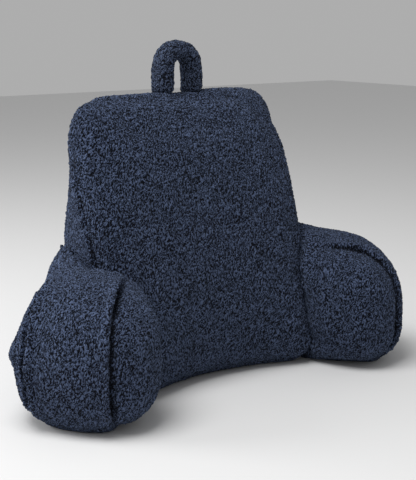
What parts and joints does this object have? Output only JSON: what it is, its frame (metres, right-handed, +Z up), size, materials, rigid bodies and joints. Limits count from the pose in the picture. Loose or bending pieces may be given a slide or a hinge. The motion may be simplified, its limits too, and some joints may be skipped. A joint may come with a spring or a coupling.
{
  "type": "backrest pillow",
  "caption": "Backrest pillow in curly pile: a leaning back cushion with a splayed stuffed arm at each side and a carrying loop on top.",
  "frame": {"origin": "on the floor under the middle of the whole pillow", "axes": "+Z up, +X from one arm to the other, the person sits on the -Y side and leans towards +Y"},
  "size_m": [0.75, 0.3692, 0.554],
  "materials": {
    "pile": "curly sheared fleece pile, navy blue, matt with a soft sheen at the edges",
    "strap_pile": "the same curly fleece pile sewn as a stuffed strap, navy blue, matt"
  },
  "bodies": {
    "root": {"back_cushion": "pile", "arm_left": "pile", "arm_right": "pile", "carrying_loop": "strap_pile"}
  },
  "joints": []
}
